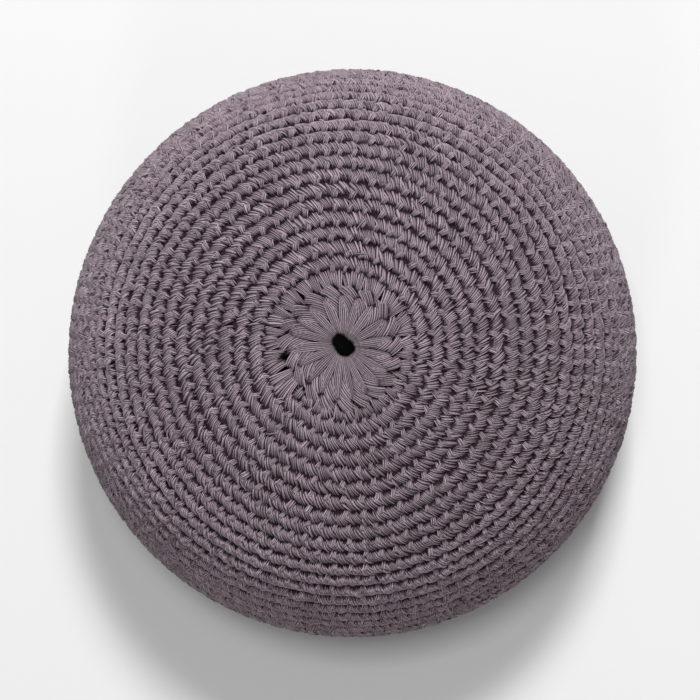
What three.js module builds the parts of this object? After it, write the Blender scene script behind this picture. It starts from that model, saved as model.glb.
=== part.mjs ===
// A crocheted kufi, a round cap without a brim. It is one continuous piece of thick yarn,
// worked round and round from a small ring at the middle of the crown down to the rim, so
// its rounds are one long spiral of swollen ribs with a groove between each two.
// Millimetres, +Z up. The origin is the middle of the rim, on the surface the cap rests on.

import * as THREE from 'three';
import { ParametricGeometry } from 'three/addons/geometries/ParametricGeometry.js';
import { mergeGeometries, mergeVertices } from 'three/addons/utils/BufferGeometryUtils.js';

// Driving sizes of the cap, over the outside of the yarn

const widestDiameter = 190;
const rimDiameter = 184;
const capHeight = 103;
const crownDrop = 54;
const crownHoleDiameter = 7;

// Driving sizes of the crochet: how thick the fabric is, how wide the smooth rosette of long
// stitches round the hole is, and how the rounds lie that follow it

const wallThickness = 4.2;
const rosetteDiameter = 35;
const roundPitch = 4.9;
const ridgeDepth = 1.3;
const firstStitchAngle = 220;

// Fineness of the faceted model

const stepsPerTurn = 36;
const stepsPerRound = 3;
const innerSteps = 12;
const mergeTolerance = 1e-4;

const yarnColour = 0x8c7e86;
const yarnRoughness = 0.95;

// Crown sections: radius as a share of the widest radius, drop as a share of the crown's drop

const crownSections = [
  { radius: 0.25, drop: 0.012 },
  { radius: 0.42, drop: 0.045 },
  { radius: 0.57, drop: 0.11 },
  { radius: 0.71, drop: 0.215 },
  { radius: 0.83, drop: 0.37 },
  { radius: 0.92, drop: 0.57 },
  { radius: 0.98, drop: 0.79 },
  { radius: 1, drop: 1 },
];

// Side sections: how far down from the widest round to the rim, and how far in towards the
// rim's radius, each as a share of the whole way

const sideSections = [
  { down: 0.33, inward: 0.1 },
  { down: 0.67, inward: 0.44 },
  { down: 1, inward: 1 },
];

// The profile runs over the crests of the rounds, from the edge of the crown's hole to the rim

function crestProfile() {
  const widest = widestDiameter / 2;
  const rim = rimDiameter / 2;
  const sideDrop = capHeight - crownDrop;
  const points = [new THREE.Vector2(crownHoleDiameter / 2, capHeight)];
  for (const { radius, drop } of crownSections) {
    points.push(new THREE.Vector2(radius * widest, capHeight - drop * crownDrop));
  }
  for (const { down, inward } of sideSections) {
    const height = (1 - down) * sideDrop;
    points.push(new THREE.Vector2(widest + inward * (rim - widest), height));
  }
  return new THREE.SplineCurve(points);
}

const profile = crestProfile();
const wallLength = profile.getLength();
const rosetteEdge = (rosetteDiameter - crownHoleDiameter) / 2;
const turns = Math.ceil((wallLength - rosetteEdge) / roundPitch);

// A point a given way along the profile from the hole's edge, and a given depth below the crests

function pointBelowCrest(along, depth) {
  const share = along / wallLength;
  const point = profile.getPointAt(share);
  const tangent = profile.getTangentAt(share);
  return new THREE.Vector2(point.x + tangent.y * depth, point.y - tangent.x * depth);
}

function setAround(target, angleShare, radius, height) {
  const angle = 2 * Math.PI * angleShare + THREE.MathUtils.degToRad(firstStitchAngle);
  return target.set(radius * Math.cos(angle), radius * Math.sin(angle), height);
}

// The face with the rounds is wound like the crochet: a row of it starts at the rosette's edge,
// moves outward by one round while it goes once around, counterclockwise seen from above, and
// ends in the rim. Each round swells between two grooves. The first round grows out of the
// groove round the rosette, and the last one runs out into the rim.

function roundsFace(around, across, target) {
  const rowTurns = across * (turns + 1);
  const wound = rosetteEdge + (rowTurns - 1 + around) * roundPitch;
  const along = THREE.MathUtils.clamp(wound, rosetteEdge, wallLength);
  const growth = Math.min(1, (along - rosetteEdge) / roundPitch);
  const runOut = Math.min(1, (wallLength - along) / roundPitch);
  const phase = rowTurns - Math.floor(rowTurns);
  const depth = ridgeDepth * runOut * (1 - growth * Math.sin(Math.PI * phase));
  const { x, y } = pointBelowCrest(along, depth);
  return setAround(target, around, x, y);
}

// The plain faces run over the flat rim that the cap rests on, up the inside, through the hole
// and out over the rosette, down to the groove at its edge.

const plainSections = [];

function listPlainSections() {
  const hole = crownHoleDiameter / 2;
  const rim = rimDiameter / 2;
  plainSections.push(new THREE.Vector2(rim, 0));
  plainSections.push(new THREE.Vector2(rim - wallThickness, 0));
  for (let step = innerSteps - 1; step > 0; step -= 1) {
    const along = (step / innerSteps) * wallLength;
    plainSections.push(pointBelowCrest(along, wallThickness));
  }
  plainSections.push(new THREE.Vector2(hole, capHeight - wallThickness));
  plainSections.push(new THREE.Vector2(hole, capHeight));
  plainSections.push(pointBelowCrest(rosetteEdge - roundPitch / 2, 0));
  plainSections.push(pointBelowCrest(rosetteEdge, ridgeDepth));
}

listPlainSections();

function plainFace(around, across, target) {
  const section = plainSections[Math.round(across * (plainSections.length - 1))];
  return setAround(target, around, section.x, section.y);
}

// The faces are joined along the rim and the rosette's edge. Where a row of the spiral starts
// or ends, its facets have no area, and those are left out.

function closedBody(faces) {
  const positionsOnly = faces.map((face) => face.deleteAttribute('normal').deleteAttribute('uv'));
  const merged = mergeVertices(mergeGeometries(positionsOnly), mergeTolerance);
  const corners = merged.getIndex().array;
  const kept = [];
  for (let i = 0; i < corners.length; i += 3) {
    const [a, b, c] = corners.slice(i, i + 3);
    if (a !== b && b !== c && c !== a) {
      kept.push(a, c, b);
    }
  }
  merged.setIndex(kept);
  merged.computeVertexNormals();
  return merged;
}

function makeCap() {
  const rounds = new ParametricGeometry(roundsFace, stepsPerTurn, (turns + 1) * stepsPerRound);
  const plain = new ParametricGeometry(plainFace, stepsPerTurn, plainSections.length - 1);
  const yarn = new THREE.MeshStandardMaterial({
    color: yarnColour,
    roughness: yarnRoughness,
    metalness: 0,
  });
  const cap = new THREE.Mesh(closedBody([rounds, plain]), yarn);
  cap.name = 'cap';
  return cap;
}

const kufi = new THREE.Group();
kufi.add(makeCap());

export default kufi;
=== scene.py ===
# %% [markdown]
# # A crocheted kufi
#
# The cap is one long, thick yarn of eight or nine fine strands, worked with a hook into a flat
# rosette, and then round and round in a spiral of single crochet down to the rim. The CAD part
# gives its true form: crown, side, rim and the swell of each round. This file dresses that form
# in stitches. Everything here is placed by two numbers, how far around and how far along the
# fabric, so the stitches follow the same spiral as the part.

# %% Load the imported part
import math

import bpy
import numpy as np
from mathutils import Matrix, Vector


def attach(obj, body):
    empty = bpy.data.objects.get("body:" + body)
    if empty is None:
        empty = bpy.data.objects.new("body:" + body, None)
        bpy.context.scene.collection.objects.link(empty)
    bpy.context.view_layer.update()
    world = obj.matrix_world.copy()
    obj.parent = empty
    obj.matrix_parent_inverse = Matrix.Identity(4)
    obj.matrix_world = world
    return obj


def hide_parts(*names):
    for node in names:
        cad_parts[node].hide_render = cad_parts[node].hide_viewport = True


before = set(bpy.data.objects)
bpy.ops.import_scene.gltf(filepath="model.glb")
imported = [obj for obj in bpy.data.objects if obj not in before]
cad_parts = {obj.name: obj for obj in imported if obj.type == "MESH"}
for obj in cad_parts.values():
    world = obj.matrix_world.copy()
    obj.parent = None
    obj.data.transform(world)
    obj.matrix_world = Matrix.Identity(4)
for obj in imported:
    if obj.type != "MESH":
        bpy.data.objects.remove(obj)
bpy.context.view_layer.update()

SEED = 19

rng = np.random.default_rng(SEED)
scene = bpy.context.scene

# %% [markdown]
# ## The table, the light and the camera
#
# The cap rests on its rim on a plain pale table. The main lamp is rather small and stands fairly
# high at the far side, so the rounds throw soft shadows towards the viewer and the near side
# falls into shade. A second lamp hangs nearly overhead, a weak one near the table fills the near
# side, and a pale sky opens the grooves a little. The camera looks down on the crown, a few
# degrees off the vertical, so the crown's hole stands a little off the middle of the outline.
# Lamps and camera are placed by two angles, which are easier to judge than three coordinates.

# %% Table
TABLE_HALF_WIDTH = 3.0
PAPER_GREY = (0.80, 0.80, 0.80, 1)


def add_table(half):
    table_mesh = bpy.data.meshes.new("table")
    corners = [(-half, -half, 0), (half, -half, 0), (half, half, 0), (-half, half, 0)]
    table_mesh.from_pydata(corners, [], [(0, 1, 2, 3)])
    table = bpy.data.objects.new("table", table_mesh)
    scene.collection.objects.link(table)
    paper = bpy.data.materials.new("table_paper")
    paper.use_nodes = True
    shader = paper.node_tree.nodes["Principled BSDF"]
    shader.inputs["Base Color"].default_value = PAPER_GREY
    shader.inputs["Roughness"].default_value = 0.9
    table_mesh.materials.append(paper)
    return table


table = add_table(TABLE_HALF_WIDTH)
print("table at height", table.location.z)

# %% Lamps
# each lamp: azimuth and elevation in degrees, distance and width in metres, watts
LAMPS = {"far_lamp": (80, 56, 2.0, 0.4, 30),
         "overhead_lamp": (100, 82, 2.4, 0.5, 17),
         "fill_lamp": (-100, 32, 2.0, 0.4, 4)}


def direction(azimuth, elevation):
    turn, lift = math.radians(azimuth), math.radians(elevation)
    level = math.cos(lift)
    return Vector((level * math.cos(turn), level * math.sin(turn), math.sin(lift)))


def add_lamp(name, azimuth, elevation, distance, size, watts):
    lamp_data = bpy.data.lights.new(name, "AREA")
    lamp_data.size = size
    lamp_data.energy = watts
    lamp = bpy.data.objects.new(name, lamp_data)
    toward = direction(azimuth, elevation)
    lamp.location = toward * distance
    lamp.rotation_euler = toward.to_track_quat("Z", "Y").to_euler()
    scene.collection.objects.link(lamp)


for name, setting in LAMPS.items():
    add_lamp(name, *setting)
print("lamps:", list(LAMPS))

# %% Sky
SKY_STRENGTH = 0.18

sky = bpy.data.worlds.new("sky")
sky.use_nodes = True
sky.node_tree.nodes["Background"].inputs["Color"].default_value = (1.0, 1.0, 1.0, 1)
sky.node_tree.nodes["Background"].inputs["Strength"].default_value = SKY_STRENGTH
scene.world = sky
scene.view_settings.view_transform = "Standard"
print("sky strength", SKY_STRENGTH)

# %% Camera
def add_camera(azimuth, elevation, distance, lens, look_at):
    camera_data = bpy.data.cameras.new("camera")
    camera_data.lens = lens
    camera_data.sensor_width = 36
    camera = bpy.data.objects.new("camera", camera_data)
    back = direction(azimuth, elevation)
    right = Vector((0, 1, 0)).cross(back).normalized()
    axes = Matrix((right, back.cross(right), back)).transposed()
    camera.matrix_world = Matrix.Translation(look_at + back * distance) @ axes.to_4x4()
    scene.collection.objects.link(camera)
    scene.camera = camera
    return camera


camera = add_camera(azimuth=-38.6, elevation=86.36, distance=0.8, lens=126.8,
                    look_at=Vector((0.0008, -0.0003, 0.075)))
print("camera at", tuple(round(c, 3) for c in camera.location))

# %% [markdown]
# ## The form that the stitches follow
#
# The crests of the rounds lie on the part's profile, so it is built here again from the same
# sizes, in millimetres: a smooth curve from the hole, over the crown and down the side. At the
# hole and at the rim the fabric is rounded over, because a real edge of yarn has no corner. One
# helper turns "turns around, millimetres along, millimetres above the crests" into a place.

# %% Sizes of the form
MM = 0.001
WIDEST_RADIUS = 95.0
RIM_RADIUS = 92.0
CAP_HEIGHT = 103.0
CROWN_DROP = 54.0
HOLE_RADIUS = 3.5
WALL = 4.2
ROSETTE_EDGE = 14.0
PITCH = 4.9
FIRST_ANGLE = 220.0

# radius as a share of the widest one and drop as a share of the crown's drop, then for the side
# the way down and the way in, each as a share of the whole way
CROWN_SECTIONS = [(0.25, 0.012), (0.42, 0.045), (0.57, 0.11), (0.71, 0.215), (0.83, 0.37),
                  (0.92, 0.57), (0.98, 0.79), (1.0, 1.0)]
SIDE_SECTIONS = [(0.33, 0.1), (0.67, 0.44), (1.0, 1.0)]
print("widest", 2 * WIDEST_RADIUS, "mm, high", CAP_HEIGHT, "mm")

# %% A smooth curve through given points
def smooth_curve(knots, samples):
    last = len(knots) - 1
    place = np.linspace(0, last, samples)
    k = np.minimum(place.astype(int), last - 1)
    w = (place - k)[:, None]
    before, start = knots[np.maximum(k - 1, 0)], knots[k]
    end, after = knots[k + 1], knots[np.minimum(k + 2, last)]
    lead, trail = (end - before) / 2, (after - start) / 2
    cubic = 2 * start - 2 * end + lead + trail
    square = -3 * start + 3 * end - 2 * lead - trail
    return ((cubic * w + square) * w + lead) * w + start


arch_top = smooth_curve(np.array([(0.0, 0.0), (1.0, 1.0), (2.0, 0.0)]), 5)[2]
print("a curve through three points passes the middle one at", arch_top)

# %% The profile over the crests
def crest_profile(samples=900):
    """How far along each sample lies, the samples, and the way out of the fabric there."""
    side_inset, side_drop = RIM_RADIUS - WIDEST_RADIUS, CAP_HEIGHT - CROWN_DROP
    knots = [(HOLE_RADIUS, CAP_HEIGHT)]
    knots += [(r * WIDEST_RADIUS, CAP_HEIGHT - d * CROWN_DROP) for r, d in CROWN_SECTIONS]
    knots += [(WIDEST_RADIUS + i * side_inset, (1 - d) * side_drop) for d, i in SIDE_SECTIONS]
    curve = smooth_curve(np.array(knots), samples)
    along = np.concatenate([[0], np.cumsum(np.hypot(*np.diff(curve, axis=0).T))])
    slope = np.gradient(curve, axis=0)
    slope /= np.hypot(*slope.T)[:, None]
    return along, curve, np.stack([-slope[:, 1], slope[:, 0]], axis=1)


crest_along, crest_curve, crest_out = crest_profile()
WALL_LENGTH = crest_along[-1]
print("fabric from hole to rim", round(WALL_LENGTH, 1), "mm")

# %% Rounded edges at the hole and the rim
HOLE_ROLL = 1.6
RIM_ROLL = WALL / 2
ROLL_STEPS = 24


def with_rounded_edges(along, curve, out):
    kept = (along >= HOLE_ROLL) & (along <= WALL_LENGTH - RIM_ROLL)
    first_out, last_out = out[kept][0], out[kept][-1]
    turn = np.linspace(math.pi, 0, ROLL_STEPS, endpoint=False)
    hole_out = np.stack([-np.sin(turn), np.cos(turn)], axis=1)
    hole_curve = curve[kept][0] - HOLE_ROLL * first_out + HOLE_ROLL * hole_out
    hole_curve[:, 0] += HOLE_RADIUS - hole_curve[:, 0].min()
    hole_along = HOLE_ROLL - HOLE_ROLL * turn
    turn = np.linspace(0, math.pi, ROLL_STEPS + 1)[1:]
    rim_out = np.outer(np.cos(turn), last_out)
    rim_out += np.outer(np.sin(turn), (last_out[1], -last_out[0]))
    rim_curve = curve[kept][-1] - RIM_ROLL * last_out + RIM_ROLL * rim_out
    rim_along = along[kept][-1] + RIM_ROLL * turn
    return (np.concatenate([hole_along, along[kept], rim_along]),
            np.concatenate([hole_curve, curve[kept], rim_curve]),
            np.concatenate([hole_out, out[kept], rim_out]))


form_along, form_curve, form_out = with_rounded_edges(crest_along, crest_curve, crest_out)
print("rolled profile runs from", round(form_along[0], 1), "to", round(form_along[-1], 1), "mm")

# %% A place on the cap
# the drawn hole in mm: how oval it is, how three-sided, how much it is pulled in, the angle in
# radians that the oval points at, and how far from the hole all of this fades out
HOLE_OVAL, HOLE_THREE_SIDED, HOLE_PULL, OVAL_ANGLE, HOLE_FADE = 0.6, 0.2, 0.75, 2.3, 9


def hole_shape(angle, along):
    """How far the drawn hole and what starts in it lie off a true circle, in mm."""
    near_hole = np.clip((HOLE_FADE - along) / HOLE_FADE, 0, 1)
    oval = HOLE_OVAL * np.cos(2 * (angle - OVAL_ANGLE))
    return near_hole * (oval + HOLE_THREE_SIDED * np.cos(3 * angle) - HOLE_PULL)


def on_fabric(around, along, height):
    """A place on the cap: turns around, mm along from the hole, mm above the crests."""
    radius = np.interp(along, form_along, form_curve[:, 0])
    level = np.interp(along, form_along, form_curve[:, 1])
    radius = radius + height * np.interp(along, form_along, form_out[:, 0])
    level = level + height * np.interp(along, form_along, form_out[:, 1])
    angle = 2 * math.pi * around + math.radians(FIRST_ANGLE)
    radius = radius + hole_shape(angle, along)
    return np.stack([radius * np.cos(angle), radius * np.sin(angle), level], axis=-1)


first_stitch = on_fabric(np.array([0.0]), np.array([ROSETTE_EDGE]), 0.0)[0]
print("the spiral starts at", tuple(round(float(c), 1) for c in first_stitch), "mm")

# %% [markdown]
# ## The spiral and its stitches
#
# Counted on a real cap, the number of stitches in a round grows in steps and not evenly: the
# maker adds stitches for a round or two and then works straight for a while, so the stitches of
# neighbouring rounds stand in columns. The table keeps those counts. The first rounds start
# from the eyelets round the rosette, which lie a little unevenly, so each eyelet has its own
# place, and the rounds that follow even it out.

# %% Counts and eyelets
# the turn from which the rounds have this many stitches
ROUND_COUNTS = [(0, 38), (3, 57), (7, 84), (11, 95), (12, 100)]

# how far the maker's rounds lie from an even spiral, in mm, at each twelfth of a turn
HAND = np.array([0.0, 1.1, 1.6, 0.6, -0.7, -1.4, -1.1, -1.3, -0.8, -0.4, -0.2, -0.6])

# each eyelet: degrees around, counterclockwise from the first stitch, and mm along
EYELETS = [(14, 14.6), (31, 16.1), (50, 17.0), (66, 16.9), (82, 15.9), (99, 15.9), (116, 15.8),
           (135, 14.5), (157, 14.4), (179, 14.5), (202, 14.4), (220, 14.8), (240, 15.2),
           (260, 15.4), (279, 15.3), (296, 15.9), (312, 16.7), (331, 16.6), (350, 14.2)]
EYELET_TURN = np.array([degrees / 360 for degrees, _ in EYELETS])
EYELET_ALONG = np.array([along for _, along in EYELETS])
print(len(EYELETS), "eyelets, on average", round(EYELET_ALONG.mean(), 1), "mm from the hole")

# %% Where each stitch starts
# the last stitch ends this much of a round before the rim
RIM_ROOM = 0.45
LAST_TURN = (WALL_LENGTH - ROSETTE_EDGE) / PITCH - RIM_ROOM


def stitch_turns():
    """Where each stitch of the spiral starts, in turns, and how wide it is, in turns."""
    starts, widths = [], []
    ends = [first for first, _ in ROUND_COUNTS[1:]] + [LAST_TURN]
    for (first, count), end in zip(ROUND_COUNTS, ends):
        turns = np.arange(first, end - 1e-6, 1 / count)
        starts.append(turns)
        widths.append(np.full(len(turns), 1 / count))
    return np.concatenate(starts), np.concatenate(widths)


STITCH_TURN, STITCH_WIDTH = stitch_turns()


def in_turns(first, last):
    chosen = (STITCH_TURN >= first) & (STITCH_TURN < last)
    return STITCH_TURN[chosen], STITCH_WIDTH[chosen]


print(len(STITCH_TURN), "stitches in", round(LAST_TURN, 1), "turns")

# %% The groove and the uneven first rounds
# the uneven hand fades out over ten rounds, after the eighth one, and the uneven eyelets are
# settled after three. The grooves waver a little on top of that, in mm. No groove comes
# closer to the rim than the margin, in mm.
EVEN_AFTER, EVEN_OVER = 8, 10
SETTLED_AFTER = 3
WAVER, WAVER_PACE = 0.15, 9.1
RIM_MARGIN = 0.6


def groove(turn):
    """How far along the fabric the groove on the inner side of the spiral lies, in mm."""
    hand = np.interp(turn * 12 % 12, np.arange(12), HAND, period=12)
    fading = np.clip((EVEN_AFTER + EVEN_OVER - turn) / EVEN_OVER, 0, 1)
    return ROSETTE_EDGE + PITCH * turn + hand * fading + WAVER * np.sin(WAVER_PACE * turn)


def settle(turn):
    """The eyelets are uneven, and the rounds after them less and less so."""
    count = len(EYELETS)
    even = (np.arange(count) + 0.5) / count
    shift = np.interp(turn % 1, even, EYELET_TURN - even, period=1)
    return turn + shift * np.clip(1 - turn / SETTLED_AFTER, 0, 1)


first_groove, last_groove = float(groove(1.0)), float(groove(LAST_TURN))
print("first groove", round(first_groove, 1), "mm, last", round(last_groove, 1), "mm")

# %% A spot in a stitch
def on_spiral(turn, u, width, v):
    """Turns around and mm along of a spot in a stitch: u across its width, v over its round."""
    here = turn + u * width
    inner = groove(here)
    outer = np.minimum(groove(here + 1), WALL_LENGTH - RIM_MARGIN)
    return settle(here), inner + v * (outer - inner)


def pairs(around, along):
    return np.stack(np.broadcast_arrays(around, along), axis=-1)


def in_stitches(turn, width, u, v):
    """The same spots in many stitches, as one array of (turns around, mm along)."""
    return pairs(*on_spiral(turn[:, None], u, width[:, None], v))


middle = in_stitches(*in_turns(0, 1), 0.5, 0.5)[0, 0]
print("the first stitch's middle lies", round(float(middle[1]), 1), "mm along")

# %% [markdown]
# ## A bundle of strands
#
# Wherever the yarn passes over the fabric it shows as a flat bundle of parallel strands that
# comes up out of one hollow and dives into another. Each bundle is a closed body on a small
# grid: across it the points lie by turns in a valley and on a strand's crest, and along it they
# rise and fall. Tubes for every strand would look the same and cost ten times as many faces.
# A map keeps for each point which strand it is on and how far along the strand it is, for the
# material to paint shade in the fine grooves and to draw the twist.

# %% Across a bundle
def sides(strands):
    """The points across a bundle, from 0 to 1: valley, crest, valley and so on."""
    return np.linspace(0, 1, 2 * strands + 1)[None]


def dome(strands, left=0.0, right=0.0, flat=4.0):
    """How high each point across a bundle stands: 1 on top, left and right at its two edges."""
    side = np.linspace(-1, 1, 2 * strands + 1)
    edge = np.where(side < 0, left, right)
    return edge + (1 - edge) * (1 - np.abs(side) ** flat) ** 0.5


def per_strand(count, strands, amount):
    """One seeded random value for each strand, the same for its valley and its crest."""
    values = rng.normal(0, amount, (count, strands + 1))
    return np.repeat(values, 2, axis=1)[:, :2 * strands + 1]


print("height across four strands:", dome(4).round(2))

# %% Along a bundle
def rise_and_fall(rings, foot, head, tail):
    """Places along a bundle, closer at its ends, and how high each stands, both 0 to 1."""
    share = (1 - np.cos(np.pi * np.linspace(0, 1, rings))) / 2
    rise = (1 - (1 - share) ** foot) ** 0.6 * (1 - share ** head) ** tail
    return share, rise / rise.max()


share, rise = rise_and_fall(7, 3.0, 3.0, 0.6)
print("height along a bundle:", rise.round(2))

# %% Strands of a bundle
FOOT_GROOVES = 1.6
STRAND_UNEVENNESS = 0.25


def strand_relief(count, strands, share, ripple):
    """Crests up and valleys down, in mm. The valleys are deeper where the bundle comes up."""
    deeper = 1 + FOOT_GROOVES * (1 - share[:, None]) ** 4
    grooves = np.where(np.arange(2 * strands + 1) % 2, 1.0, -deeper)[None]
    return grooves * ripple + per_strand(count, strands, STRAND_UNEVENNESS * ripple)[:, None]


print("valleys at the foot are", 1 + FOOT_GROOVES, "times as deep as at the head")

# %% Which way a bundle faces
def looks_out(start, end, side):
    """Whether faces in the plain order look out of a bundle that stands up on this side."""
    middle = len(start) // 2
    over = end[middle] - start[middle]
    wide = start[-1] - start[0] + end[-1] - end[0]
    return (wide[0] * over[1] - wide[1] * over[0]) * float(side) > 0


print("a bundle to the left faces out:", bool(looks_out(
    np.array([[0, 0], [1, 0], [2, 0]]), np.array([[0, 1], [1, 1], [2, 1]]), 1)))

# %% Shape of one bundle
# mm below the crest where the yarn gets the full painted shade, and how much of that painted
# shade the far end of a bundle gets, which is tucked in less deeply
FULL_SHADE = 2.4
FAR_SHADE = 0.72
FAR_END = 0.45
# the strands stand out in full from this share of the rise on
RELIEF_FULL = 1 / 1.6


def bundle(starts, ends, crest, sink, arch, rings=7, foot=3.0, head=3.0, tail=0.6, tilt=0.0,
           ripple=0.26, ease=1.0):
    """Bundles from starts to ends, both (count, points across, 2) in turns around and mm along."""
    count, across = starts.shape[:2]
    share, rise = rise_and_fall(rings, foot, head, tail)
    swing = np.stack([share ** ease, share], axis=-1)[None, :, None, :]
    lie = starts[:, None] + (ends - starts)[:, None] * swing
    rise = rise[None, :, None]
    crest, sink = np.reshape(crest, (-1, 1, 1)), np.reshape(sink, (-1, 1, 1))
    crest = crest + tilt * (share - 0.5)[None, :, None]
    height = sink + (crest - sink) * rise * arch[None, None, :]
    relief = strand_relief(count, across // 2, share, ripple)
    height = height + np.sign(crest - sink) * relief * np.clip(rise / RELIEF_FULL, 0, 1)
    points = on_fabric(lie[..., 0], lie[..., 1], height)
    # painted shade: the further a point lies below its crest, the darker its colour is painted
    end_shade = np.where(share < FAR_END, 1.0, FAR_SHADE)[None, :, None]
    low = np.clip(np.abs(crest - height) / FULL_SHADE, 0, 1) * end_shade
    low = np.broadcast_to(low, points.shape[:-1])
    length = np.linalg.norm(points[:, -1] - points[:, 0], axis=-1).mean(axis=1)
    return {"points": points, "low": low, "share": share, "length": length,
            "outward": looks_out(starts[0], ends[0], np.sign(crest - sink).mean())}


print("one bundle of 8 strands has", 17 * 7 + 2, "points")

# %% Faces of one bundle
def bundle_faces(rings, across, outward):
    """Corner lists of the quads round a bundle and of the triangles that close its two ends."""
    r, k = np.meshgrid(np.arange(rings - 1), np.arange(across), indexing="ij")
    right = (k + 1) % across
    here, ahead = r * across, (r + 1) * across
    quads = np.stack([here + k, ahead + k, ahead + right, here + right], -1)
    k = np.arange(across)
    right = (k + 1) % across
    last = (rings - 1) * across
    first_tip, last_tip = rings * across, rings * across + 1
    near = np.stack([k, right, np.full(across, first_tip)], -1)
    far = np.stack([last + right, last + k, np.full(across, last_tip)], -1)
    quads, tris = quads.reshape(-1, 4), np.concatenate([near, far])
    return (quads, tris) if outward else (quads[:, ::-1], tris[:, ::-1])


quads, tris = bundle_faces(7, 17, True)
print("and", len(quads), "quads and", len(tris), "triangles")

# %% Places and faces of many bundles
TIP = 0.35


def bundle_vertices(points):
    """All points of each bundle, with a tip a little beyond each of its ends."""
    middle = points.mean(axis=2)
    tips = np.stack([middle[:, 0] + TIP * (middle[:, 0] - middle[:, 1]),
                     middle[:, -1] + TIP * (middle[:, -1] - middle[:, -2])], axis=1)
    return np.concatenate([points.reshape(len(points), -1, 3), tips], axis=1)


def bundle_corners(count, size, quads, tris):
    """The corners of all faces, and how many corners each face has."""
    first = (np.arange(count) * size)[:, None, None]
    both = [(quads + first).reshape(count, -1), (tris + first).reshape(count, -1)]
    sizes = np.tile(np.r_[np.full(len(quads), 4), np.full(len(tris), 3)], count)
    return np.concatenate(both, axis=1).reshape(-1), sizes


corners, sizes = bundle_corners(10, 17 * 7 + 2, quads, tris)
print("ten bundles have", len(sizes), "faces")

# %% A mesh of many bundles
LONGEST_RUN = 40


def bundle_mesh(made, first_strand):
    """One bundle set as flat arrays: points, corners, face sizes, yarn map, tone and depth for the
    painted shade.
    """
    count, rings, across = made["points"].shape[:3]
    strands = across // 2
    vertices = bundle_vertices(made["points"])
    quads, tris = bundle_faces(rings, across, made["outward"])
    corners, sizes = bundle_corners(count, vertices.shape[1], quads, tris)
    strand = np.broadcast_to(np.arange(across) / 2, (count, rings, across)).reshape(count, -1)
    strand = np.concatenate([strand, np.full((count, 2), strands / 2)], axis=1)
    strand = strand + first_strand + np.arange(count)[:, None] * (strands + 1)
    run = rng.uniform(0, LONGEST_RUN, (count, 1, 1))
    run = run + made["length"][:, None, None] * made["share"][None, :, None]
    run = np.broadcast_to(run, (count, rings, across)).reshape(count, -1)
    run = np.concatenate([run, run[:, :1], run[:, -1:]], axis=1)
    # each stitch's own random tone, raised on the knobs by their painted highlight
    tone = rng.uniform(0, 1, (count, 1)) + made.get("painted_highlight", 0.0)
    tone = np.broadcast_to(tone, (count, vertices.shape[1]))
    low = np.concatenate([made["low"].reshape(count, -1), np.ones((count, 2))], axis=1)
    return {"vertices": vertices.reshape(-1, 3), "corners": corners, "sizes": sizes,
            "map": np.stack([strand.reshape(-1), run.reshape(-1)], axis=1),
            "tone": tone.reshape(-1), "low": low.reshape(-1), "strands": count * (strands + 1)}


print("the mesh of a set is built in one step from arrays")

# %% [markdown]
# ## The yarn
#
# The yarn is a matt mauve grey mix, spun of many fine fibres, and its strands lie side by side
# with a fine line of painted shade between them. No picture is used: the colour comes from the
# strand map. A painted shade darkens the valleys between strands and a painted highlight lightens
# their crests. The colour differs a little from strand to strand and from stitch to stitch, and
# has fine slanting marks where each strand is twisted. Deep in the fabric a painted shade of dark
# purple takes over, first in the valleys and then on the crests, where little light would get.
# The twist and some fibre noise drive the bump as well. A cloth sheen gives the soft bright edge
# of fuzzy yarn.

# %% Material helpers
def add_node(tree, kind, settings=None, **inputs):
    """A node with its settings. An input is named by its name, or by i and its number."""
    node = tree.nodes.new(kind)
    for name, value in (settings or {}).items():
        setattr(node, name, value)
    for name, value in inputs.items():
        key = int(name[1:]) if name[1:].isdigit() else name.replace("_", " ")
        if isinstance(value, bpy.types.NodeSocket):
            tree.links.new(value, node.inputs[key])
        else:
            node.inputs[key].default_value = value
    return node


def calc(tree, operation, first, second=0.0, third=0.0):
    node = add_node(tree, "ShaderNodeMath", {"operation": operation}, i0=first, i1=second,
                    i2=third)
    return node.outputs[0]


def spread(tree, value, low, high, to_low, to_high):
    node = add_node(tree, "ShaderNodeMapRange", {"interpolation_type": "SMOOTHSTEP"},
                    Value=value, From_Min=low, From_Max=high, To_Min=to_low, To_Max=to_high)
    return node.outputs[0]


def mix_colours(tree, share, first, second):
    node = add_node(tree, "ShaderNodeMix", {"data_type": "RGBA"}, Factor=share, i6=first,
                    i7=second)
    return node.outputs[2]


print("node helpers ready")

# %% The light and dark of one strand
# painted highlight on each strand's crest and painted shade in the valleys between strands
CREST_PAINTED_HIGHLIGHT, VALLEY_PAINTED_SHADE = 1.40, 0.0
STRAND_TONES = (0.80, 1.20)
# radians of twist for each mm along a strand, and for its whole width
TWIST_ALONG = 5.2
TWIST_ACROSS = 5.0
TWIST_CONTRAST = 0.09
STITCH_CONTRAST, STITCH_DARKEST = 0.20, 0.88


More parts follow.
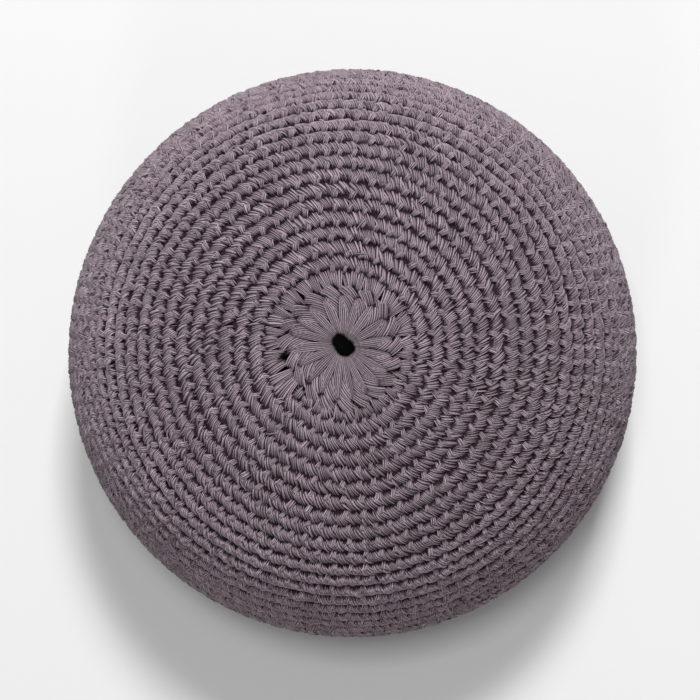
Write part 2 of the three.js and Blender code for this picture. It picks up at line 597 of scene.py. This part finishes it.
def strand_light(tree, strand, run, brightness):
    """How light the yarn is, from its strand and place: painted shade in the valley, painted
    highlight on the crest, and the twist.
    """
    across = calc(tree, "FRACT", strand)
    valley = calc(tree, "ABSOLUTE", calc(tree, "SUBTRACT", across, 0.5))
    shade = spread(tree, valley, 0.06, 0.48, CREST_PAINTED_HIGHLIGHT, VALLEY_PAINTED_SHADE)
    own = add_node(tree, "ShaderNodeTexWhiteNoise", {"noise_dimensions": "1D"},
                   W=calc(tree, "FLOOR", strand))
    own_tone = spread(tree, own.outputs[0], 0.0, 1.0, *STRAND_TONES)
    slant = calc(tree, "MULTIPLY", across, TWIST_ACROSS)
    twist = calc(tree, "SINE", calc(tree, "MULTIPLY_ADD", run, TWIST_ALONG, slant))
    twist_tone = calc(tree, "MULTIPLY_ADD", twist, TWIST_CONTRAST, 1.0)
    tone = add_node(tree, "ShaderNodeAttribute", {"attribute_name": "tone"}).outputs["Fac"]
    stitch_tone = calc(tree, "MULTIPLY_ADD", tone, STITCH_CONTRAST, STITCH_DARKEST)
    light = calc(tree, "MULTIPLY", shade, own_tone)
    for factor in (twist_tone, stitch_tone, brightness):
        light = calc(tree, "MULTIPLY", light, factor)
    return light, valley, twist


print("strands differ by a factor of", STRAND_TONES)

# %% Fibres and depth
YARN_DARK = (0.150, 0.108, 0.130, 1)
YARN_LIGHT = (0.350, 0.282, 0.322, 1)
# the dark purple of the painted shade deep in the fabric, where little light would get
YARN_PAINTED_SHADE = (0.024, 0.011, 0.018, 1)
FIBRE_SCALE = 2600.0
PATCH_SCALE = 60.0
DEPTH_STARTS, DEPTH_FULL = 0.43, 0.93
VALLEY_AHEAD = 0.9


def fibre_colour(tree):
    """The mixed colour of the spun fibres, and the fibre noise itself."""
    place = add_node(tree, "ShaderNodeTexCoord").outputs["Object"]
    fibre = add_node(tree, "ShaderNodeTexNoise", None, Vector=place, Scale=FIBRE_SCALE,
                     Detail=3.0, Roughness=0.6).outputs[0]
    patch = add_node(tree, "ShaderNodeTexNoise", None, Vector=place, Scale=PATCH_SCALE,
                     Detail=2.0).outputs[0]
    share = calc(tree, "MULTIPLY_ADD", fibre, 0.75, calc(tree, "MULTIPLY", patch, 0.45))
    return mix_colours(tree, share, YARN_DARK, YARN_LIGHT), fibre


def painted_shade_share(tree, valley):
    """How much painted shade the yarn gets, from 0 on top to 1 deep in the fabric. Valleys get it
    first.
    """
    low = add_node(tree, "ShaderNodeAttribute", {"attribute_name": "low"}).outputs["Fac"]
    depth = calc(tree, "MULTIPLY_ADD", valley, VALLEY_AHEAD, low)
    return spread(tree, depth, DEPTH_STARTS, DEPTH_FULL, 0.0, 1.0)


print("fibres are about", round(1000 / FIBRE_SCALE, 2), "mm wide")

# %% Yarn material
def make_yarn(name, brightness):
    yarn = bpy.data.materials.new(name)
    yarn.use_nodes = True
    tree = yarn.node_tree
    shader = tree.nodes["Principled BSDF"]
    strand_map = add_node(tree, "ShaderNodeUVMap", {"uv_map": "strands"}).outputs[0]
    strand, run, _ = add_node(tree, "ShaderNodeSeparateXYZ", None, Vector=strand_map).outputs
    light, valley, twist = strand_light(tree, strand, run, brightness)
    colour, fibre = fibre_colour(tree)
    lit = add_node(tree, "ShaderNodeVectorMath", {"operation": "SCALE"}, i0=colour, Scale=light)
    # painted shade: the deeper the yarn lies, the more it is mixed into the dark purple
    with_painted_shade = mix_colours(tree, painted_shade_share(tree, valley), lit.outputs[0], YARN_PAINTED_SHADE)
    tree.links.new(with_painted_shade, shader.inputs["Base Color"])
    tree.links.new(spread(tree, fibre, 0.3, 0.7, 0.82, 0.98), shader.inputs["Roughness"])
    relief = calc(tree, "MULTIPLY_ADD", fibre, 0.6, calc(tree, "MULTIPLY", twist, 0.25))
    bump = add_node(tree, "ShaderNodeBump", None, Strength=0.5, Distance=0.0002, Height=relief)
    tree.links.new(bump.outputs[0], shader.inputs["Normal"])
    shader.inputs["Specular IOR Level"].default_value = 0.2
    shader.inputs["Sheen Weight"].default_value = 0.08
    shader.inputs["Sheen Roughness"].default_value = 0.5
    return yarn


yarn = make_yarn("yarn", 1.0)
# the rosette gets a darker copy of the yarn, a painted shade
rosette_yarn_painted_shade = make_yarn("rosette_yarn_painted_shade", 0.9)
print("yarn material with", len(yarn.node_tree.nodes), "nodes")

# %% From arrays to a piece of the cap
def yarn_mesh(name, parts):
    """Joins sets of flat arrays into one mesh, with its strand map, tone and depth for the painted
    shade.
    """
    firsts = np.cumsum([0] + [len(part["vertices"]) for part in parts[:-1]])
    corners = np.concatenate([part["corners"] + first for part, first in zip(parts, firsts)])
    sizes = np.concatenate([part["sizes"] for part in parts])
    vertices = np.concatenate([part["vertices"] for part in parts]) * MM
    mesh = bpy.data.meshes.new(name)
    mesh.vertices.add(len(vertices))
    mesh.vertices.foreach_set("co", vertices.astype(np.float32).ravel())
    mesh.loops.add(len(corners))
    mesh.loops.foreach_set("vertex_index", corners.astype(np.int32))
    mesh.polygons.add(len(sizes))
    mesh.polygons.foreach_set("loop_start", np.r_[0, np.cumsum(sizes)[:-1]].astype(np.int32))
    mesh.polygons.foreach_set("use_smooth", np.ones(len(sizes), bool))
    strand_map = mesh.uv_layers.new(name="strands")
    where = np.concatenate([part["map"] for part in parts])[corners]
    strand_map.data.foreach_set("uv", where.astype(np.float32).ravel())
    for key in ("tone", "low"):
        values = np.concatenate([part[key] for part in parts]).astype(np.float32)
        mesh.attributes.new(key, "FLOAT", "POINT").data.foreach_set("value", values)
    mesh.update(calc_edges=True)
    mesh.validate()
    return mesh, int((sizes - 2).sum())


print("parts of the mesh are joined as arrays too")

# %% A piece that rides with the cap and stands for its solid
triangle_count = 0
next_strand = 0


def add_piece(name, parts, material):
    global triangle_count
    mesh, triangles = yarn_mesh(name, parts)
    mesh.materials.append(material)
    piece = bpy.data.objects.new(name, mesh)
    scene.collection.objects.link(piece)
    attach(piece, "root")
    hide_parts("cap")
    triangle_count += triangles
    print(name, "has", triangles, "triangles")


def add_bundles(name, sets, material=yarn):
    """Makes one piece of bundle sets. Strands are numbered on, so each has its own tone."""
    global next_strand
    parts = []
    for made in sets:
        parts.append(bundle_mesh(made, next_strand))
        next_strand += parts[-1]["strands"]
    add_piece(name, parts, material)


print("no piece is made yet")

# %% [markdown]
# ## The fat lobe of each stitch
#
# A single crochet shows a fan of strands that wraps over the round: the strand on its clockwise
# side runs nearly straight outward, and the others lean more and more, until the last one dives
# under the next stitch. Its inner end is cut off like a comb by the groove. The whole set is one
# array: a start and an end for each strand of each stitch, with a little seeded unevenness.

# %% Lobes
# in widths of a stitch: where the first strand starts and ends, and from there to the last one
LOBE_START_U, LOBE_START_WIDTH = -0.08, 0.88
LOBE_END_U, LOBE_END_WIDTH = 0.28, 1.28
# in widths of a round: where the strands start and end, and how much earlier the last one ends
LOBE_START_V, LOBE_END_V, LOBE_LAST_SHORTER = -0.05, 0.98, 0.24
LOBE_CREST = -0.1


def lobe_set(turn, width, strands, rings, foot, sink, slant):
    count, side = len(turn), sides(strands)
    loose = rng.normal(0, 1, (count, 4, 1))
    comb = per_strand(count, strands, 0.08)
    start_u = LOBE_START_U + 0.02 * loose[:, 0] + LOBE_START_WIDTH * side
    start_u = start_u + per_strand(count, strands, 0.02)
    end_u = LOBE_END_U + slant + 0.035 * loose[:, 1] + LOBE_END_WIDTH * side
    end_u = end_u + per_strand(count, strands, 0.035)
    end_v = LOBE_END_V + 0.02 * loose[:, 2] - LOBE_LAST_SHORTER * side ** 1.6 + comb
    starts = in_stitches(turn, width, start_u, LOBE_START_V + comb)
    ends = in_stitches(turn, width, end_u, end_v)
    crest = LOBE_CREST + 0.06 * loose[:, 3, 0]
    return bundle(starts, ends, crest, sink, dome(strands, 0.92, 0.72, 3), rings=rings,
                  foot=foot, head=1.1, tail=1.0, ripple=0.30)


turn, width = in_turns(1, 2)
radius = np.interp(groove(1.5), form_along, form_curve[:, 0])
lobe_width = round(float(width[0] * 2 * math.pi * radius), 1)
print(len(turn), "lobes in the second round, each", lobe_width, "mm wide")

# %% [markdown]
# ## The small bundle between two lobes
#
# Where the hook pulled the yarn through, a short bundle crosses the groove the other way, at the
# outer end of each lobe. It is narrow at its inner end and wider further out, and it catches the
# light, and a painted highlight raises its tone as well, so it stands out as a bright knob beside
# a dark hole. It is made the same way as a lobe, with fewer strands.

# %% Knobs
# the middle of a knob in its stitch, how far it reaches inward and outward from there in widths
# of a round, how far it leans, and its half width at each end, in widths of a stitch
KNOB_U, KNOB_V = 0.93, 1.0
KNOB_IN, KNOB_OUT = 0.28, 0.24
KNOB_LEAN = 0.11
KNOB_FOOT_HALF, KNOB_HEAD_HALF = 0.16, 0.21
KNOB_SINK = -2.4
# the knobs' painted highlight, added to their tone
KNOB_PAINTED_HIGHLIGHT = 0.5


def knob_set(turn, width, strands, rings, lift):
    count, side = len(turn), sides(strands)
    loose = rng.normal(0, 1, (count, 3, 1))
    middle_u = KNOB_U + 0.04 * loose[:, 0]
    middle_v = KNOB_V + 0.03 * loose[:, 1]
    fan = 2 * side - 1 + per_strand(count, strands, 0.08)
    start_u = middle_u + KNOB_LEAN + KNOB_FOOT_HALF * fan
    start_v = middle_v - KNOB_IN - 0.04 * fan ** 2 + per_strand(count, strands, 0.05)
    end_u = middle_u - KNOB_LEAN + KNOB_HEAD_HALF * fan
    end_v = middle_v + KNOB_OUT + 0.10 * fan ** 2 + per_strand(count, strands, 0.05)
    starts = in_stitches(turn, width, start_u, start_v)
    ends = in_stitches(turn, width, end_u, end_v)
    crest = lift + 0.08 * loose[:, 2, 0]
    knobs = bundle(starts, ends, crest, KNOB_SINK, dome(strands, 0.35, 0.35, 2.5),
                   rings=rings, foot=3, head=6, tilt=0.7)
    return knobs | {"painted_highlight": KNOB_PAINTED_HIGHLIGHT}


print("each knob is about", round((KNOB_IN + KNOB_OUT) * PITCH, 1), "mm long")

# %% [markdown]
# ## The rounds
#
# The rounds go in bands from the crown down, so no piece grows too large for a viewer. The crown
# and the shoulder are seen from close by and get finer bundles than the side. Down the side the
# lobes lean over further and rise less steeply, because the stitches are pulled along there.

# %% Rounds of the crown and the side
BANDS = {
    "crown_rounds": dict(
        turns=(1, 7), lobe=dict(strands=9, rings=7, foot=5.0, sink=-3.0, slant=0.0),
        knob=dict(strands=5, rings=5)),
    "shoulder_rounds": dict(
        turns=(7, 11), lobe=dict(strands=9, rings=7, foot=4.0, sink=-2.8, slant=0.0),
        knob=dict(strands=5, rings=5)),
    "widest_rounds": dict(
        turns=(11, 16), lobe=dict(strands=9, rings=6, foot=5.0, sink=-2.9, slant=0.12),
        knob=dict(strands=5, rings=4)),
    "upper_side_rounds": dict(
        turns=(16, 22), lobe=dict(strands=8, rings=6, foot=3.4, sink=-2.8, slant=0.4),
        knob=dict(strands=4, rings=4)),
    "lower_side_rounds": dict(
        turns=(22, 31), lobe=dict(strands=7, rings=4, foot=2.2, sink=-2.3, slant=0.45),
        knob=dict(strands=3, rings=4)),
}
KNOB_LIFT = -0.2

for name, band in BANDS.items():
    turn, width = in_turns(*band["turns"])
    lobes = lobe_set(turn, width, **band["lobe"])
    knobs = knob_set(turn, width, **band["knob"], lift=KNOB_LIFT)
    add_bundles(name, [lobes, knobs])

# %% [markdown]
# ## The tall round after the rosette
#
# The first spiral round is worked into the eyelets, two tall stitches in each. Their strands
# fan out of the eyelet, some to each side, and they are longer and straighter than the later
# ones. Beside the first stitch the fan starts further out, so the eyelet there shows as a hole.

# %% Feet of the tall stitches
# mm: from an eyelet outward, how far the strands beside it reach back in, and how far the feet
# stand off at the first stitch. That gap has its middle and its width in turns.
TALL_FOOT, TALL_REACH, FIRST_GAP = 0.6, 3.4, 1.8
GAP_TURN, GAP_WIDTH = 0.02, 0.04


def tall_feet(turn, width, second, start_u, comb):
    from_eyelet = np.abs(np.where(second, start_u, 1 - start_u))
    here, _ = on_spiral(turn[:, None], start_u, width[:, None], 0.0)
    eyelet = np.interp(here % 1, EYELET_TURN, EYELET_ALONG, period=1)
    gap = FIRST_GAP * np.exp(-((here - GAP_TURN) / GAP_WIDTH) ** 2)
    inward = TALL_REACH * np.clip(from_eyelet, 0, 1)
    return pairs(here, eyelet + TALL_FOOT + gap - inward + comb)


print("tall stitches start", TALL_FOOT, "mm outside their eyelets")

# %% Tall stitches
TALL_CREST, TALL_SINK = -0.2, -2.6


def tall_set(turn, width, strands=8):
    count, side = len(turn), sides(strands)
    loose = rng.normal(0, 1, (count, 3, 1))
    second = (np.arange(count) % 2)[:, None]
    start_u = np.where(second, -0.08, 0.22) + 0.80 * side + 0.03 * loose[:, 0]
    start_u = start_u + per_strand(count, strands, 0.03)
    end_u = 0.16 + 1.20 * side + 0.04 * loose[:, 1] + per_strand(count, strands, 0.05)
    comb = per_strand(count, strands, 0.4)
    starts = tall_feet(turn, width, second, start_u, comb)
    end_v = 0.98 - 0.22 * side ** 1.6 + 0.03 * loose[:, 2] + comb / PITCH
    ends = in_stitches(turn, width, end_u, end_v)
    return bundle(starts, ends, TALL_CREST, TALL_SINK, dome(strands, 0.55, 0.4, 2.5),
                  rings=9, foot=4, head=1.6, tail=0.9, ripple=0.38)


turn, width = in_turns(0, 1)
tall_stitches = tall_set(turn, width)
tall_knobs = knob_set(turn, width, strands=4, rings=5, lift=-0.4)
add_bundles("tall_round", [tall_stitches, tall_knobs])

# %% [markdown]
# ## The rosette
#
# The cap was started with a ring of yarn, drawn tight to a small hole, and nineteen long
# stitches in it. Each has three bundles that show: the post, which starts inside the hole, is
# broad at its foot and comes to a point; a slanting wrap on its clockwise side; and the loop on
# its top, which leans over to the next post. Behind each loop is a small black gap, and outside
# the loops are the eyelets. All three are placed by the number of their post, so one function
# makes them, and a fourth row of bundles for the inside of the cap.

# %% Bundles placed by posts
USUAL_EYELET = 15.0


def eyelet_turn(number):
    """Turns around of a spot between the eyelets, which are numbered from 0."""
    count = len(EYELETS)
    whole = np.floor(number / count)
    once_round = np.r_[EYELET_TURN, EYELET_TURN[0] + 1]
    return np.interp(number - whole * count, np.arange(count + 1), once_round) + whole


def rosette_set(foot, top, strands, crest, sink, edges, rings=8, ripple=0.36, ease=1.0):
    """Foot and top of the bundles: from post to post, and from mm to mm along."""
    count, side = len(EYELETS), sides(strands)
    loose = rng.normal(0, 1, (count, 4, 1))
    reach = EYELET_ALONG[:, None] / USUAL_EYELET
    ends = []
    for k, (left, right, near, far) in enumerate((foot, top)):
        number = np.arange(count)[:, None] + left + (right - left) * side
        number = number + 0.03 * loose[:, 2 * k]
        along = near + (far - near) * side + 0.18 * loose[:, 2 * k + 1]
        along = along + per_strand(count, strands, 0.2)
        ends.append(pairs(eyelet_turn(number), along * reach if near > 0 else along))
    return bundle(*ends, crest, sink, dome(strands, *edges), rings=rings, foot=5, head=5,
                  ripple=ripple, ease=ease)


print("post 0 stands at", round(float(eyelet_turn(0.0)) * 360), "degrees")

# %% Posts, wraps and loops
ROSETTE_SINK = -2.2

posts = rosette_set((-1.24, 0.02, -3.3, -3.3), (-0.45, -0.23, 12.8, 12.2), 5, -0.05,
                    ROSETTE_SINK, edges=(0.5, 0.5), rings=13, ripple=0.42, ease=2.0)
wraps = rosette_set((-1.30, -1.10, 10.8, 5.0), (-0.66, -0.22, 14.0, 11.0), 6, -0.15,
                    ROSETTE_SINK, edges=(0.4, 0.5))
loops = rosette_set((-1.44, -1.06, 12.4, 10.2), (-0.74, -0.20, 16.8, 14.4), 6, 0.0,
                    ROSETTE_SINK, edges=(0.4, 0.5))
add_bundles("rosette", [posts, wraps, loops], rosette_yarn_painted_shade)

# %% [markdown]
# ## Stray strands
#
# Here and there one strand of the yarn has slipped out of its stitch and lies loose over the
# next ones. They are few and fine, but they keep the fabric from looking printed. Each is a
# bundle of a single strand, with a seeded place, length and slant.

# %% Loose single strands
STRAY_HALF_WIDTH = 0.22
STRAY_SINK = -1.2
STRAY_ARCH = np.array([0.82, 1.0, 0.82])


def stray_set(count, first, last):
    turn = np.sort(first + (last - first) * rng.uniform(0, 1, count) ** 0.8)
    along = groove(turn) + PITCH * rng.uniform(0.1, 0.9, count)
    once_round = 2 * math.pi * np.interp(along, form_along, form_curve[:, 0])
    slant = rng.uniform(0.15, 1.35, count) * rng.choice([-1, 1], count, p=[0.3, 0.7])
    length = rng.uniform(2.5, 6.5, count)
    reach = pairs(length * np.cos(slant) / once_round, length * np.sin(slant))
    across = STRAY_HALF_WIDTH * np.linspace(-1, 1, 3)[None]
    side_around = -across * np.sin(slant)[:, None] / once_round[:, None]
    side_along = across * np.cos(slant)[:, None]
    starts = pairs(settle(turn)[:, None] + side_around, along[:, None] + side_along)
    lift = rng.uniform(0.1, 0.45, count)
    return bundle(starts, starts + reach[:, None], lift, STRAY_SINK, STRAY_ARCH, rings=8,
                  foot=4, head=4, ripple=0.04)


add_bundles("stray_strands", [stray_set(90, 1, 22)])

# %% [markdown]
# ## The back of the fabric
#
# Behind the lobes the fabric is a dense mat of the same yarn. It closes the depth of the
# grooves, so they look dark and not empty. It is a thin shell with two faces, painted in full
# shade where it is seen between the stitches and in a lighter painted shade on the inside of the
# cap, and it leaves the eyelets open.
# On the inside each stitch shows as a broad level bar, and the rosette as long flat bundles
# under its posts.

# %% Mat behind the lobes
MAT_STEPS = 120
MAT_FRONT, MAT_BACK = -2.3, -3.4
# the front face is painted in full shade, the back face in a lighter painted shade
MAT_TONE, FRONT_PAINTED_SHADE, BACK_PAINTED_SHADE = 0.5, 1.0, 0.35


def mat_points(rows, first, last):
    """A shell of two faces, as places in steps around and rows along and back."""
    around = np.linspace(0, 1, MAT_STEPS, endpoint=False)[:, None]
    along = np.linspace(first, last, rows)[None]
    front = on_fabric(*np.broadcast_arrays(around, along), MAT_FRONT)
    back = on_fabric(*np.broadcast_arrays(around, along[:, ::-1]), MAT_BACK)
    return np.concatenate([front, back], axis=1)


def mat_part(rows, first, last):
    """The mat as flat arrays, in the form that bundles have. Its strands cross at a slant."""
    points = mat_points(rows, first, last)
    steps, loop = points.shape[:2]
    i, j = np.meshgrid(np.arange(steps), np.arange(loop), indexing="ij")
    here, ahead, next_j = i * loop, (i + 1) % steps * loop, (j + 1) % loop
    corners = np.stack([here + j, here + next_j, ahead + next_j, ahead + j], -1).reshape(-1)
    lanes = np.stack([(j * 2.3 + i * 0.37).reshape(-1), (i * 4.0).reshape(-1)], axis=1)
    return {"vertices": points.reshape(-1, 3), "corners": corners,
            "sizes": np.full(len(corners) // 4, 4), "map": lanes,
            "tone": np.full(points.shape[:2], MAT_TONE).reshape(-1),
            "low": np.where(j < rows, FRONT_PAINTED_SHADE, BACK_PAINTED_SHADE).reshape(-1)}


add_piece("rosette_mat", [mat_part(8, 1.6, 12.6)], yarn)
add_piece("rounds_mat", [mat_part(40, 17.9, WALL_LENGTH - 0.9)], yarn)

# %% Bars on the inside
# mm below the crests: the bars' faces on the inside of the cap, and where they sink in
INSIDE_FACE, BAR_SINK = -4.15, -3.2


def bar_set(turn, width, strands, rings):
    loose = rng.normal(0, 1, (len(turn), 2, 1))
    v = 0.14 + 0.70 * sides(strands) + 0.04 * loose[:, 0]
    starts = in_stitches(turn, width, -0.12 + 0.05 * loose[:, 1], v)
    ends = in_stitches(turn, width, 1.12, v + 0.10)
    return bundle(starts, ends, INSIDE_FACE, BAR_SINK, dome(strands), rings=rings, ripple=0.2)


add_bundles("inside_crown", [bar_set(*in_turns(0, 12), 4, 4)])
add_bundles("inside_side", [bar_set(*in_turns(12, 31), 3, 3)])

# %% Rosette from the inside
under_posts = rosette_set((-1.12, 0.10, 0.6, 0.6), (-1.30, -0.12, 15.0, 14.4), 5, INSIDE_FACE,
                          -3.1, edges=(0.3, 0.3), rings=7, ripple=0.2)
add_bundles("inside_rosette", [under_posts])

# %% [markdown]
# ## The rim
#
# The last round ends in a chain: each stitch leaves a V of two bundles lying round the edge,
# one towards the outside and one towards the inside. They follow the rounded edge of the form.

# %% Chain round the rim
CHAIN_CREST, CHAIN_SINK = 0.0, -1.7
CHAIN_STITCHES = 100


def chain_set(first_v, last_v, lean, strands=5, count=CHAIN_STITCHES):
    """One leg of each V, from mm to mm past the rim's edge, leaning by some mm along."""
    loose = rng.normal(0, 1, (count, 2, 1))
    along = WALL_LENGTH + first_v + (last_v - first_v) * sides(strands) + 0.12 * loose[:, 0]
    around = np.arange(count)[:, None] / count + 0.06 * loose[:, 1] / count
    starts = pairs(around - 0.28 / count, along)
    ends = pairs(around + 1.30 / count, along + lean)
    return bundle(starts, ends, CHAIN_CREST, CHAIN_SINK, dome(strands), rings=6, ripple=0.2)


outer_leg = chain_set(-2.4, -0.2, 0.7)
inner_leg = chain_set(4.9, 2.3, -0.7)
add_bundles("rim_chain", [outer_leg, inner_leg])
print("all pieces together have", triangle_count, "triangles")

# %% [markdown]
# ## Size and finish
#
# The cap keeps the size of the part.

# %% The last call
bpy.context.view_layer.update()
